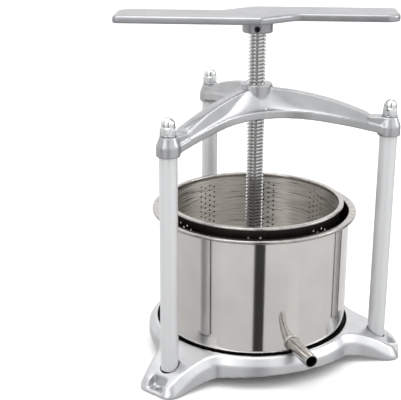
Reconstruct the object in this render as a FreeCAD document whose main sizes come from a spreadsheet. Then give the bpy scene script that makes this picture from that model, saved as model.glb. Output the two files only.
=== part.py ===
import FreeCAD, Part
import os
import re
import Sketcher

# Tabletop fruit press. The origin is on the bench under the screw axis, +Z is up and
# the spout points to the front, -Y. Lengths are in millimetres, angles in degrees.

doc = FreeCAD.newDocument("fruit_press")
Vector = FreeCAD.Vector
Rotation = FreeCAD.Rotation
Placement = FreeCAD.Placement
UP = Vector(0, 0, 1)

# ---------------------------------------------------------------- driving dimensions
SIZES = {
    # posts
    "post_circle": (151.0, "radius of the circle through the posts"),
    "post_dia": (20.0, "outer diameter of a post"),
    "post_wall": (1.5, "wall of a post"),
    "post_fit": (0.1, "radial clearance of a post in its sockets"),
    "rod_dia": (10.0, "M10 tie rod"),
    "rod_play": (0.5, "radial clearance of a rod in the castings"),
    # base casting
    "ring_radius": ("=rim_radius + rim_slope_width", "outer wall of the base ring"),
    "rim_slope_width": (7.0, "width of the slope outside the flat rim"),
    "rim_radius": ("=bucket_radius + recess_play + rim_width", "outer edge of the flat rim round the bucket"),
    "rim_width": (3.9, "width of the flat rim round the recess"),
    "rim_top": (37.5, "top of the flat rim"),
    "recess_play": (2.6, "gap between the bucket and the recess wall"),
    "recess_depth": (4.3, "depth of the bucket recess"),
    "deck_thick": (6.0, "thickness of the deck under the bucket"),
    "ring_wall": (16.0, "width of the ring wall, seen from below"),
    "post_seat": (27.5, "top of the base casting beside a post"),
    "foot_reach": ("=post_circle + foot_past_post", "outer end of a foot from the axis"),
    "foot_past_post": (28.5, "end of a foot from its post's axis"),
    "foot_top": (9.0, "height of the foot's top at its outer end"),
    "foot_half": (23.4, "half width of a foot at its outer end"),
    "foot_slope": (0.256, "growth of the half width towards the ring"),
    "foot_corner": (13.5, "corner radius of a foot"),
    "waist_fillet": (28.0, "fillet between a foot and the ring"),
    "arch_height": (17.5, "height of the arches between the feet"),
    "arch_half": (130.0, "half span of an arch"),
    "edge_bevel": (7.0, "bevel along the top edge of the base"),
    "socket_depth": (5.5, "depth of a post socket in the base"),
    "nut_pocket": (11.0, "radius of the nut pocket under a post"),
    "nut_pocket_top": (16.0, "height of the nut pocket's roof"),
    "bench_circle": ("=post_circle + bench_past_post", "radius of the circle through the bench holes"),
    "bench_past_post": (19.0, "bench hole from its post's axis"),
    "bench_hole": (7.0, "bench bolt hole diameter"),
    "foot_pocket_start": ("=post_circle + pocket_past_post", "inner wall of a foot's open pocket"),
    "pocket_past_post": (14.0, "inner wall of a foot's open pocket from its post's axis"),
    "foot_pocket_half": (10.5, "half width of a foot's open pocket"),
    "foot_floor": (4.5, "floor thickness in a foot's open pocket"),
    # crossbeam
    "beam_bottom": (270.0, "underside of the beam bosses"),
    "pad_top": (292.0, "top of the flat pad on a boss"),
    "boss_radius": (13.0, "radius of a boss"),
    "pad_half": (9.0, "half width of the pad on a boss"),
    "pad_length": (24.0, "length of the pad inwards from the post"),
    "beam_socket": (12.0, "depth of a post socket in the beam"),
    "arm_half": (11.0, "half width of an arm's flange"),
    "arm_fillet": (112.0, "plan radius of the hollow between two arms"),
    "flange_crest": (297.5, "top of the flange at the axis"),
    "flange_thick": (9.0, "thickness of the flange"),
    "flange_arch": (682.0, "radius of the flange's arch"),
    "rib_half": (3.5, "half width of the rib at its top"),
    "rib_draft": (0.18, "growth of the rib's half width per millimetre down"),
    "rib_crest": (320.0, "top of the rib at the axis"),
    "rib_arch": (323.6, "radius of the rib's arch"),
    "collar_radius": (18.2, "radius of the collar"),
    "collar_top": (324.0, "top of the collar"),
    "collar_bottom": (287.0, "underside of the beam at the axis"),
    # screw and bush
    "screw_dia": (20.0, "major diameter of the trapezoidal thread"),
    "screw_fit": (0.05, "radial running clearance in the bush"),
    "bush_dia": (26.0, "outer diameter of the bush"),
    "bush_flange": (17.5, "radius of the bush's thrust flange"),
    "bush_flange_thick": (2.5, "thickness of the thrust flange"),
    "groove_width": (2.0, "width of the groove down the screw"),
    "groove_depth": (2.4, "depth of the groove down the screw"),
    "neck_dia": (14.0, "neck above the screw's thrust button"),
    "button_dia": (22.0, "thrust button at the lower end"),
    "button_thick": (7.0, "thickness of the thrust button"),
    # handle
    "hub_bottom": (381.3, "underside of the handle hub"),
    "hub_radius": (17.25, "radius of the handle hub"),
    "plate_bottom": (395.5, "underside of the handle plate"),
    "plate_thick": (8.5, "thickness of the handle plate"),
    "handle_reach": (157.5, "end of an arm from the axis"),
    "handle_near": (46.0, "outer edge of an arm from the centre line"),
    "handle_far": (12.0, "inner edge of an arm, past the centre line"),
    "handle_step": (5.0, "outer corner past the axis"),
    "handle_waist": (42.0, "inner corner from the axis"),
    "handle_end_round": (16.0, "radius at the inner corner of an arm's end"),
    "handle_tip_round": (6.0, "radius at the outer corner of an arm's end"),
    "handle_waist_round": (20.0, "radius at the inner corners"),
    "handle_edge_round": (3.0, "radius along the top edge"),
    "handle_turn": (-24.0, "direction of the right arm at rest"),
    "cover_thick": (4.0, "metal left over the screw's end"),
    "grub_dia": (6.0, "M6 grub screws"),
    "grub_height": (5.4, "grub screw above the hub's underside"),
    "grub_sink": (2.0, "how far a grub screw sits below the surface"),
    # bucket
    "bucket_radius": (112.0, "outer radius of the bucket"),
    "bucket_wall": (1.0, "wall of the bucket"),
    "bucket_top": (176.3, "top of the bucket's lip"),
    "bucket_corner": (3.0, "bevel at the bucket's bottom edge"),
    "lip_radius": ("=bucket_radius + lip_roll", "outer radius of the bucket's lip"),
    "lip_roll": (8.0, "how far the bucket's lip stands out"),
    "lip_thick": (4.0, "height of the bucket's rolled lip"),
    "seat_gap": (0.3, "gap under a vessel that stands loose"),
    "spout_dia": (15.0, "outer diameter of the spout"),
    "spout_wall": (1.2, "wall of the spout"),
    "spout_height": ("=rim_top + spout_over_rim + spout_dia / 2", "height of the spout's axis"),
    "spout_over_rim": (4.0, "clearance of the spout over the base's rim"),
    "spout_reach": ("=bucket_radius + spout_length", "tip of the spout from the axis"),
    "spout_length": (49.0, "length of the spout past the bucket's wall"),
    "spout_neck": (0.3, "how far the spout is necked down where it passes the wall"),
    "spout_turn": (1.0, "direction of the spout past straight ahead"),
    "spout_collar_radius": (9.5, "radius of the spout's weld ring"),
    "spout_collar_thick": (2.0, "thickness of the spout's weld ring"),
    # basket
    "basket_radius": ("=bucket_radius - bucket_wall - juice_gap", "outer radius of the basket"),
    "juice_gap": (11.0, "gap for the juice between the basket and the bucket"),
    "basket_wall": (0.8, "wall of the basket"),
    "basket_top": (185.7, "top of the basket's rim"),
    "basket_rim": ("=basket_radius + rim_roll", "outer radius of the basket's rim"),
    "rim_roll": (5.1, "how far the basket's rim stands out"),
    "basket_rim_thick": (3.6, "height of the basket's rolled rim"),
    "basket_foot": (4.2, "height of the basket floor above its foot edge"),
    "basket_floor_thick": (1.0, "thickness of the basket floor"),
    # press plate and swivel
    "plate_low": (100.0, "underside of the press plate"),
    "plate_play": (2.7, "gap between the press plate and the basket"),
    "plate_disc": (3.0, "thickness of the press plate's disc"),
    "plate_rim": (9.0, "height of the press plate over its rim"),
    "plate_rim_wall": (2.5, "wall of the press plate's rim"),
    "socket_radius": (22.0, "radius of the thrust socket"),
    "socket_height": (14.0, "height of the thrust socket"),
    "swivel_play": (0.3, "clearance round the thrust button and the neck"),
    "pad_thick": (3.0, "thickness of the thrust pad"),
    "cap_thick": (5.0, "thickness of the swivel cap"),
    "cap_screw_circle": (16.8, "radius of the circle through the cap screws"),
    "cap_screw_dia": (4.0, "M4 cap screws"),
    "cap_head_dia": (7.0, "head of a cap screw"),
    # fasteners
    "dome_flats": (16.0, "across flats of a dome nut"),
    "dome_hex": (8.0, "height of a dome nut's hexagon"),
    "dome_height": (18.0, "height of a dome nut"),
    "dome_radius": (7.6, "radius of the dome"),
    "washer_radius": (9.0, "outer radius of a washer"),
    "washer_thick": (1.9, "thickness of a washer"),
    "nut_flats": (16.0, "across flats of a base nut"),
    "nut_height": (8.0, "height of a base nut"),
}
POST_ANGLES = {"left": 210, "right": 330, "back": 90}
BETWEEN = (270, 30, 150)

sheet = doc.addObject("Spreadsheet::Sheet", "Sizes")
for row, (alias, (value, note)) in enumerate(SIZES.items(), start=1):
    sheet.set("A%d" % row, alias)
    sheet.set("B%d" % row, str(value))
    sheet.setAlias("B%d" % row, alias)
    sheet.set("C%d" % row, note)
doc.recompute()

# Sizes that several pieces share, each written once in terms of the driving dimensions.
RECESS_FLOOR = "rim_top - recess_depth"
RECESS_RADIUS = "bucket_radius + recess_play"
BUCKET_LOW = RECESS_FLOOR + " + seat_gap"
BUCKET_FLOOR = BUCKET_LOW + " + bucket_wall"
BASKET_LOW = BUCKET_FLOOR + " + seat_gap"
BASKET_FLOOR = BASKET_LOW + " + basket_foot"
BASKET_BORE = "basket_radius - basket_wall"
SOCKET_LOW = "plate_low + plate_disc"
CAP_LOW = SOCKET_LOW + " + socket_height"
BUTTON_LOW = SOCKET_LOW + " + pad_thick + 0.2"
BUTTON_TOP = BUTTON_LOW + " + button_thick"
CAP_TOP = CAP_LOW + " + cap_thick"
PLATE_RADIUS = BASKET_BORE + " - plate_play"
SCREW_TOP = "plate_bottom + plate_thick - cover_thick"
POST_LOW = "post_seat - socket_depth"
POST_HIGH = "beam_bottom + beam_socket"
WASHER_TOP = "pad_top + washer_thick"
ROD_TOP = WASHER_TOP + " + 13"
ROD_LOW = "nut_pocket_top - washer_thick - nut_height - 2"


def bound(text):
    """The expression with each size read from the sheet."""
    return re.sub(r"[a-z]\w*", sheet_cell, str(text))


def sheet_cell(word):
    """A word of an expression, with the sheet's name before it if it is a size."""
    return "Sizes." + word.group() if word.group() in SIZES else word.group()


def value(text):
    """The number an expression stands for now."""
    return float(sheet.evalExpression(str(text)))


def bind(thing, **links):
    """Bind properties of an object to expressions; a double underscore stands for a dot."""
    for name, text in links.items():
        thing.setExpression(name.replace("__", "."), bound(text))
    return thing


# ---------------------------------------------------------------- building blocks
def place(thing, x="0", y="0", z="0", turn=None, axis=UP):
    """Put an object at an expression's place, turned about an axis."""
    if turn is not None:
        thing.Placement.Rotation = Rotation(axis, value(turn))
    return bind(thing, Placement__Base__x=x, Placement__Base__y=y, Placement__Base__z=z)


def cylinder(name, radius, height, z="0", x="0", y="0"):
    thing = doc.addObject("Part::Cylinder", name)
    bind(thing, Radius=radius, Height=height)
    return place(thing, x, y, z)


def box(name, length, width, height, x="0", y="0", z="0"):
    thing = doc.addObject("Part::Box", name)
    bind(thing, Length=length, Width=width, Height=height)
    return place(thing, x, y, z)


def cone(name, low_radius, high_radius, height, z="0"):
    thing = doc.addObject("Part::Cone", name)
    bind(thing, Radius1=low_radius, Radius2=high_radius, Height=height)
    return place(thing, z=z)


def ball(name, radius, z):
    thing = doc.addObject("Part::Sphere", name)
    bind(thing, Radius=radius)
    return place(thing, z=z)


def fuse(name, things):
    thing = doc.addObject("Part::MultiFuse", name)
    thing.Shapes = things
    return thing


def common(name, things):
    thing = doc.addObject("Part::MultiCommon", name)
    thing.Shapes = things
    return thing


def cut(name, base, tools):
    thing = doc.addObject("Part::Cut", name)
    thing.Base = base
    thing.Tool = tools[0] if len(tools) == 1 else fuse(name + "_tools", tools)
    return thing


def turned_copy(name, thing, angle):
    """A copy of an object turned about the screw axis."""
    doc.recompute()
    shape = thing.Shape.copy()
    shape.rotate(Vector(0, 0, 0), UP, angle)
    copy = doc.addObject("Part::Feature", name)
    copy.Shape = shape
    return copy


def around(name, thing, angles=tuple(POST_ANGLES.values())):
    """Copies of an object turned about the screw axis, one for each angle."""
    return [turned_copy("%s_at_%d" % (name, angle), thing, angle) for angle in angles]


def draw(sketch, points):
    """A closed outline of straight lines through points given as pairs of expressions."""
    corners = [Vector(value(x), value(y), 0) for x, y in points]
    for index, corner in enumerate(corners):
        sketch.addGeometry(Part.LineSegment(corner, corners[(index + 1) % len(corners)]), False)
    for index, (x, y) in enumerate(points):
        following = (index + 1) % len(points)
        sketch.addConstraint(Sketcher.Constraint("Coincident", index, 2, following, 1))
        for kind, text, axis in (("DistanceX", x, -2), ("DistanceY", y, -1)):
            if text == "0":
                sketch.addConstraint(Sketcher.Constraint("PointOnObject", index, 1, axis))
                continue
            number = sketch.addConstraint(Sketcher.Constraint(kind, -1, 1, index, 1, value(text)))
            sketch.setExpression("Constraints[%d]" % number, bound(text))
    return sketch


def body_with_sketch(name, plane, points, height="0"):
    """A body and a sketch on one of its origin planes, raised by height."""
    body = doc.addObject("PartDesign::Body", name)
    sketch = body.newObject("Sketcher::SketchObject", name + "_outline")
    support = [face for face in body.Origin.OriginFeatures if face.Role == plane][0]
    sketch.AttachmentSupport = [(support, "")]
    sketch.MapMode = "FlatFace"
    if height != "0":
        sketch.setExpression("AttachmentOffset.Base.z", bound(height))
    draw(sketch, points)
    return body, sketch


def turned(name, points):
    """A piece turned about the Z axis from a half profile of (radius, height) pairs."""
    body, sketch = body_with_sketch(name, "XZ_Plane", points)
    feature = body.newObject("PartDesign::Revolution", name + "_turning")
    feature.Profile = sketch
    feature.ReferenceAxis = (sketch, ["V_Axis"])
    feature.Angle = 360
    sketch.Visibility = False
    return body


def raised(name, points, low, height):
    """A flat piece pushed up from an outline in the XY plane."""
    body, sketch = body_with_sketch(name, "XY_Plane", points, low)
    feature = body.newObject("PartDesign::Pad", name + "_pad")
    feature.Profile = sketch
    bind(feature, Length=height)
    return body


def hexagon(name, flats, height, z):
    """A regular hexagonal prism, one pair of its flats square to the X axis."""
    thing = doc.addObject("Part::Prism", name)
    thing.Polygon = 6
    bind(thing, Circumradius="(%s) / 2 / cos(30 deg)" % flats, Height=height)
    return place(thing, z=z, turn="30")


def rounded(name, base, radius, wanted, kind="Part::Fillet"):
    """Fillet or bevel the edges of base that wanted() picks."""
    doc.recompute()
    thing = doc.addObject(kind, name)
    thing.Base = base
    size = value(radius)
    picked = [number for number, edge in enumerate(base.Shape.Edges, start=1) if wanted(edge)]
    thing.Edges = [(number, size, size) for number in picked]
    return thing


def upright(edge):
    """Whether an edge is a vertical straight line."""
    first, last = edge.Vertexes[0].Point, edge.Vertexes[-1].Point
    return edge.Curve.TypeId == "Part::GeomLine" and from_axis(first - last) < 0.001


def from_axis(point):
    """A point's distance from the screw axis."""
    return Vector(point.x, point.y, 0).Length


NODES = {}


def node(name, thing):
    """Name a finished piece."""
    thing.Label = name
    NODES[name] = thing
    return thing


def group_of_three(name, thing, radius="post_circle", first=90):
    """Three equal fasteners in one node, at radius from the screw axis."""
    doc.recompute()
    solids = []
    for angle in (first, first + 120, first + 240):
        shape = thing.Shape.copy()
        shape.translate(Vector(value(radius), 0, 0))
        shape.rotate(Vector(0, 0, 0), UP, angle)
        solids.append(shape)
    group = doc.addObject("Part::Feature", name + "_group")
    group.Shape = Part.makeCompound(solids)
    return node(name, group)


# ---------------------------------------------------------------- base casting
def base_casting():
    """Cast base: a ring with a recess for the bucket, and three feet that carry the posts."""
    root = "ring_radius * 0.75"
    root_half = "foot_half + foot_slope * (foot_reach - (%s))" % root
    foot = raised("foot_plan", [(root, "-(%s)" % root_half), ("foot_reach", "-foot_half"),
                                ("foot_reach", "foot_half"), (root, root_half)], "0", "rim_top + 10")
    plan = fuse("base_plan", [cylinder("ring_plan", "ring_radius", "rim_top + 10")] + around("foot", foot))
    waist = rounded("base_waist", plan, "waist_fillet",
                    lambda edge: upright(edge) and from_axis(edge.Vertexes[0].Point) < value("post_circle"))
    corners = rounded("base_corners", waist, "foot_corner",
                      lambda edge: upright(edge) and from_axis(edge.Vertexes[0].Point) > value("foot_reach"))
    inner_slope = "(post_circle - rim_radius) / (rim_top - post_seat)"
    outer_slope = "(foot_reach - post_circle) / (post_seat - foot_top)"
    roof = common("base_roof", [
        corners,
        cone("rim_slope", "rim_radius + rim_top * (%s)" % inner_slope, "rim_radius", "rim_top"),
        cone("foot_slope_cone", "foot_reach + foot_top * (%s)" % outer_slope,
             "foot_reach - (rim_top - foot_top) * (%s)" % outer_slope, "rim_top")])
    bevel = rounded("base_bevel", roof, "edge_bevel", on_top_outline, "Part::Chamfer")
    arch_radius = "(arch_half ^ 2 + arch_height ^ 2) / (2 * arch_height)"
    arch = doc.addObject("Part::Cylinder", "arch")
    bind(arch, Radius=arch_radius, Height="foot_reach")
    arch.Placement.Rotation = Rotation(Vector(0, 1, 0), 90)
    bind(arch, Placement__Base__z="arch_height - (%s)" % arch_radius)
    tools = [
        cylinder("recess", RECESS_RADIUS, "rim_top", RECESS_FLOOR),
        cylinder("underside", "ring_radius - ring_wall", RECESS_FLOOR + " - deck_thick + 5", "-5")]
    tools += around("arch", arch, BETWEEN)
    post = "post_circle"
    tools += around("socket", cylinder("socket", "post_dia / 2 + post_fit", "rim_top", POST_LOW, post))
    tools += around("rod_way", cylinder("rod_way", "rod_dia / 2 + rod_play", "rim_top + 5", "-5", post))
    tools += around("nut_way", cylinder("nut_way", "nut_pocket", "nut_pocket_top + 5", "-5", post))
    tools += around("bench_way", cylinder("bench_way", "bench_hole / 2", "rim_top", "-5", "bench_circle"))
    tools += around("pocket", box("pocket", "foot_reach", "2 * foot_pocket_half", "rim_top",
                                  "foot_pocket_start", "-foot_pocket_half", "foot_floor"))
    return node("base_casting", cut("base_casting_cut", bevel, tools))


def on_top_outline(edge):
    """Whether an edge of the uncut base lies along its top, outside the flat rim."""
    middle = edge.valueAt((edge.FirstParameter + edge.LastParameter) / 2)
    points = [middle] + [vertex.Point for vertex in edge.Vertexes]
    outer = all(from_axis(point) > value("ring_radius") - 1 for point in points)
    return middle.z > 1 and outer and not upright(edge)


# ---------------------------------------------------------------- posts and tie rods
def posts():
    """Three posts between the castings, each with a tie rod down its middle."""
    for side, angle in POST_ANGLES.items():
        x = "post_circle * cos(%d deg)" % angle
        y = "post_circle * sin(%d deg)" % angle
        post_length = "%s - (%s)" % (POST_HIGH, POST_LOW)
        rod_length = "%s - (%s)" % (ROD_TOP, ROD_LOW)
        outer = cylinder("post_outer_" + side, "post_dia / 2", post_length, POST_LOW, x, y)
        inner = cylinder("post_inner_" + side, "post_dia / 2 - post_wall", POST_HIGH, "0", x, y)
        node("post_tube_" + side, cut("post_" + side, outer, [inner]))
        node("tie_rod_" + side, cylinder("rod_" + side, "rod_dia / 2", rod_length, ROD_LOW, x, y))


def post_fasteners():
    """Dome nuts and washers above the beam, plain nuts and washers below the base."""
    dome = common("dome_blank", [
        cylinder("dome_body", "dome_radius", "dome_height", WASHER_TOP),
        ball("dome_ball", "dome_radius", WASHER_TOP + " + dome_height - dome_radius")])
    neck = cylinder("dome_neck", "dome_radius", "dome_height - dome_radius", WASHER_TOP)
    head = hexagon("dome_hexagon", "dome_flats", "dome_hex", WASHER_TOP)
    blank = fuse("dome_nut_blank", [head, neck, dome])
    bore = cylinder("dome_bore", "rod_dia / 2", "13", WASHER_TOP)
    group_of_three("dome_nuts", cut("dome_nut", blank, [bore]))
    for name, low in (("top_washers", "pad_top"), ("base_washers", "nut_pocket_top - washer_thick")):
        disc = cylinder(name + "_disc", "washer_radius", "washer_thick", low)
        hole = cylinder(name + "_hole", "rod_dia / 2 + 0.25", "washer_thick", low)
        group_of_three(name, cut(name + "_ring", disc, [hole]))
    low = "nut_pocket_top - washer_thick - nut_height"
    nut = cut("base_nut", hexagon("base_nut_hexagon", "nut_flats", "nut_height", low),
              [cylinder("base_nut_bore", "rod_dia / 2", "nut_height", low)])
    group_of_three("base_nuts", nut)


# ---------------------------------------------------------------- crossbeam
def crossbeam():
    """Cast beam: a collar for the bush, three arched arms with a rib, and a boss at each post."""
    tall = "collar_top - beam_bottom"
    core = cylinder("beam_core", "arm_fillet / tan(60 deg) + arm_half * tan(30 deg)", tall, "beam_bottom")
    arm = box("arm", "post_circle", "2 * arm_half", tall, "0", "-arm_half", "beam_bottom")
    away = "(arm_fillet + arm_half) / sin(60 deg)"
    hollow = cylinder("arm_hollow", "arm_fillet", tall, "beam_bottom", away)
    blank = fuse("arm_blank", [core] + around("arm", arm))
    plan = cut("arm_plan", blank, around("hollow", hollow, BETWEEN))
    flange = common("flange", [plan, ball("flange_arch_ball", "flange_arch", "flange_crest - flange_arch")])
    rib_low_half = "rib_half + rib_draft * (collar_top - beam_bottom)"
    rib = doc.addObject("Part::Wedge", "rib")
    bind(rib, Xmin="0", Xmax="post_circle - pad_length", X2min="0", X2max="post_circle - pad_length",
         Ymin="0", Ymax=tall, Zmin="-(%s)" % rib_low_half, Zmax=rib_low_half,
         Z2min="-rib_half", Z2max="rib_half")
    rib.Placement = Placement(Vector(0, 0, value("beam_bottom")), Rotation(Vector(1, 0, 0), 90))
    ribs = common("ribs", [fuse("rib_blank", around("rib", rib)), plan,
                           ball("rib_arch_ball", "rib_arch", "rib_crest - rib_arch")])
    pad = box("pad", "pad_length", "2 * pad_half", "pad_top - beam_bottom - 4", "post_circle - pad_length",
              "-pad_half", "beam_bottom + 4")
    shoulder = "beam_bottom + (pad_top - beam_bottom) / 2"
    boss = cylinder("boss", "boss_radius", shoulder + " - beam_bottom", "beam_bottom", "post_circle")
    flare = doc.addObject("Part::Cone", "boss_flare")
    bind(flare, Radius1="boss_radius", Radius2="pad_half", Height="pad_top - (%s)" % shoulder)
    place(flare, "post_circle", "0", shoulder)
    blank = fuse("beam_blank", [flange, ribs] + around("pad", pad))
    underside = cut("beam_arched", blank, [
        ball("underside_ball", "flange_arch", "flange_crest - flange_thick - flange_arch")])
    collar = cylinder("collar", "collar_radius", "collar_top - collar_bottom", "collar_bottom")
    whole = fuse("beam_whole", [underside, collar] + around("boss", boss) + around("flare", flare))
    tools = [cylinder("bush_way", "bush_dia / 2", "collar_top", "0")]
    post = "post_circle"
    socket = cylinder("beam_socket_one", "post_dia / 2 + post_fit", POST_HIGH, "0", post)
    rod_hole = cylinder("beam_rod_one", "rod_dia / 2 + rod_play", "collar_top", "0", post)
    tools += around("beam_socket", socket) + around("beam_rod", rod_hole)
    tools.append(side_hole("bush_grub_way", "collar_radius", BUSH_GRUB_HEIGHT, BUSH_GRUB_TURN))
    return node("crossbeam", cut("crossbeam_cut", whole, tools))


BUSH_GRUB_HEIGHT = "collar_bottom + (flange_crest - collar_bottom) / 2 + 18"
BUSH_GRUB_TURN = "30"
HANDLE_GRUB_TURN = "handle_turn - 90"


def side_hole(name, length, height, turn, start="0", radius="grub_dia / 2"):
    """A horizontal cylinder that leaves the screw axis in the direction turn."""
    thing = doc.addObject("Part::Cylinder", name)
    bind(thing, Radius=radius, Height=length)
    thing.Placement.Rotation = Rotation(UP, value(turn)).multiply(Rotation(Vector(0, 1, 0), 90))
    x = "(%s) * cos((%s) * 1 deg)" % (start, turn)
    y = "(%s) * sin((%s) * 1 deg)" % (start, turn)
    return place(thing, x, y, height)


def bush():
    """Threaded bush pushed up into the collar; its flange takes the thrust under the beam."""
    bore = "screw_dia / 2 + screw_fit"
    flange_low = "collar_bottom - bush_flange_thick"
    blank = turned("bush_blank", [
        (bore, flange_low), ("bush_flange", flange_low), ("bush_flange", "collar_bottom"),
        ("bush_dia / 2", "collar_bottom"), ("bush_dia / 2", "collar_top"), (bore, "collar_top")])
    start = "bush_dia / 2 - 1"
    dimple = side_hole("bush_dimple", "collar_radius", BUSH_GRUB_HEIGHT, BUSH_GRUB_TURN, start)
    node("screw_bush", cut("bush_cut", blank, [dimple]))
    length = "collar_radius - grub_sink / 2 - (%s)" % start
    node("bush_grub_screw", side_hole("bush_grub", length, BUSH_GRUB_HEIGHT, BUSH_GRUB_TURN, start))


# ---------------------------------------------------------------- screw and handle
def screw():
    """Press screw: thread at its major diameter, neck and thrust button below, one long groove."""
    radius = "screw_dia / 2"
    neck_top = CAP_TOP + " + 3"
    blank = turned("screw_blank", [
        ("0", BUTTON_LOW), ("button_dia / 2 - 1", BUTTON_LOW), ("button_dia / 2", BUTTON_LOW + " + 1"),
        ("button_dia / 2", BUTTON_TOP), ("neck_dia / 2", BUTTON_TOP), ("neck_dia / 2", neck_top),
        (radius, neck_top + " + 2"), (radius, SCREW_TOP), ("0", SCREW_TOP)])
    groove = box("screw_groove", "screw_dia", "groove_width", "collar_top",
                 radius + " - groove_depth", "-groove_width / 2", neck_top)
    groove = turned_copy("groove_at_grub", groove, value(HANDLE_GRUB_TURN))
    return node("press_screw", cut("screw_cut", blank, [groove]))


def handle():
    """Cast handle: a flat plate in an S shape with a hub under it, locked by a grub screw."""
    near, far, reach = "handle_near", "handle_far", "handle_reach"
    front = [("-" + reach, "-" + near), ("handle_step", "-" + near),
             ("handle_waist", "-" + far), (reach, "-" + far)]
    rear = [(reach, near), ("-handle_step", near), ("-handle_waist", far), ("-" + reach, far)]
    plate = raised("handle_plan", front + rear, "plate_bottom", "plate_thick")

    def at_waist(edge):
        corner = Vector(value("handle_waist"), value(far), 0)
        return upright(edge) and abs(from_axis(edge.Vertexes[0].Point) - corner.Length) < 0.01

    waist = rounded("handle_waists", plate, "handle_waist_round", at_waist)

    def at_end(edge, side):
        spot = edge.Vertexes[0].Point
        return upright(edge) and abs(spot.x) > value(reach) - 0.01 and abs(abs(spot.y) - value(side)) < 0.01

    inner_ends = rounded("handle_inner_ends", waist, "handle_end_round", lambda edge: at_end(edge, far))
    ends = rounded("handle_ends", inner_ends, "handle_tip_round", lambda edge: at_end(edge, near))
    top = value("plate_bottom + plate_thick")
    soft = rounded("handle_top", ends, "handle_edge_round",
                   lambda edge: all(abs(vertex.Point.z - top) < 0.01 for vertex in edge.Vertexes))
    hub = cylinder("handle_hub", "hub_radius", "plate_bottom - hub_bottom", "hub_bottom")
    bore = cylinder("handle_bore", "screw_dia / 2", "%s - hub_bottom" % SCREW_TOP, "hub_bottom")
    height = "hub_bottom + grub_height"
    casting = cut("handle_cut", fuse("handle_blank", [soft, hub]),
                  [bore, side_hole("handle_grub_way", "hub_radius * 2", height, "-90")])
    node("handle_casting", turned_copy("handle_at_rest", casting, value("handle_turn")))
    start = "screw_dia / 2 - groove_depth"
    tip = side_hole("grub_tip", "groove_depth + 0.5", height, HANDLE_GRUB_TURN, start, "groove_width / 2")
    length = "hub_radius - grub_sink - screw_dia / 2"
    shank = side_hole("grub_shank", length, height, HANDLE_GRUB_TURN, "screw_dia / 2")
    bore_way = cylinder("grub_trim", "screw_dia / 2", "collar_top", "hub_bottom")
    node("handle_grub_screw", fuse("handle_grub", [tip, cut("grub_shank_cut", shank, [bore_way])]))


# ---------------------------------------------------------------- bucket and spout
def bucket():
    """Juice bucket: drawn shell with a rolled lip, and a spout tube welded in near the bottom."""
    outer, inner = "bucket_radius", "bucket_radius - bucket_wall"
    lip_low = "bucket_top - lip_thick"
    shell = turned("bucket_blank", [
        ("0", BUCKET_LOW), (outer + " - bucket_corner", BUCKET_LOW),
        (outer, BUCKET_LOW + " + bucket_corner"),
        (outer, lip_low), ("lip_radius - 1", lip_low), ("lip_radius", lip_low + " + 1"),
        ("lip_radius", "bucket_top - 1"), ("lip_radius - 1", "bucket_top"), (inner, "bucket_top"),
        (inner, BUCKET_FLOOR + " + bucket_corner"), (inner + " - bucket_corner", BUCKET_FLOOR),
        ("0", BUCKET_FLOOR)])
    turn = "270 + spout_turn"
    start = inner + " - 2"

    def along_spout(name, radius, begin, end):
        return side_hole(name, "%s - (%s)" % (end, begin), "spout_height", turn, begin, radius)

    neck = "spout_dia / 2 - spout_neck"
    shoulder = outer + " + spout_collar_thick + 1"
    node("bucket_shell", cut("bucket_cut", shell, [along_spout("spout_way", neck, start, "lip_radius")]))
    tube = fuse("spout_outer", [along_spout("spout_necked", neck, start, shoulder),
                                along_spout("spout_plain", "spout_dia / 2", shoulder, "spout_reach")])
    bore = along_spout("spout_bore", "spout_dia / 2 - spout_wall", start, "spout_reach + 1")
    node("spout_tube", cut("spout_cut", tube, [bore]))
    ring = along_spout("collar_outer", "spout_collar_radius", outer + " - 2", outer + " + spout_collar_thick")
    ring_bore = along_spout("collar_bore", neck, outer + " - 4", "spout_reach")
    wall = cylinder("collar_wall", outer, "bucket_top")
    node("spout_collar", cut("collar_cut", ring, [ring_bore, wall]))


# ---------------------------------------------------------------- basket
def basket():
    """Press basket: rolled sheet wall with a rim, and a floor disc set above its foot edge."""
    outer = "basket_radius"
    rim_low = "basket_top - basket_rim_thick"
    node("basket_wall", turned("basket_sheet", [
        (BASKET_BORE, BASKET_LOW), (outer, BASKET_LOW), (outer, rim_low), ("basket_rim - 1", rim_low),
        ("basket_rim", rim_low + " + 1"), ("basket_rim", "basket_top - 1"),
        ("basket_rim - 1", "basket_top"), (BASKET_BORE, "basket_top")]))
    node("basket_floor", cylinder("basket_disc", BASKET_BORE, "basket_floor_thick", BASKET_FLOOR))


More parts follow.
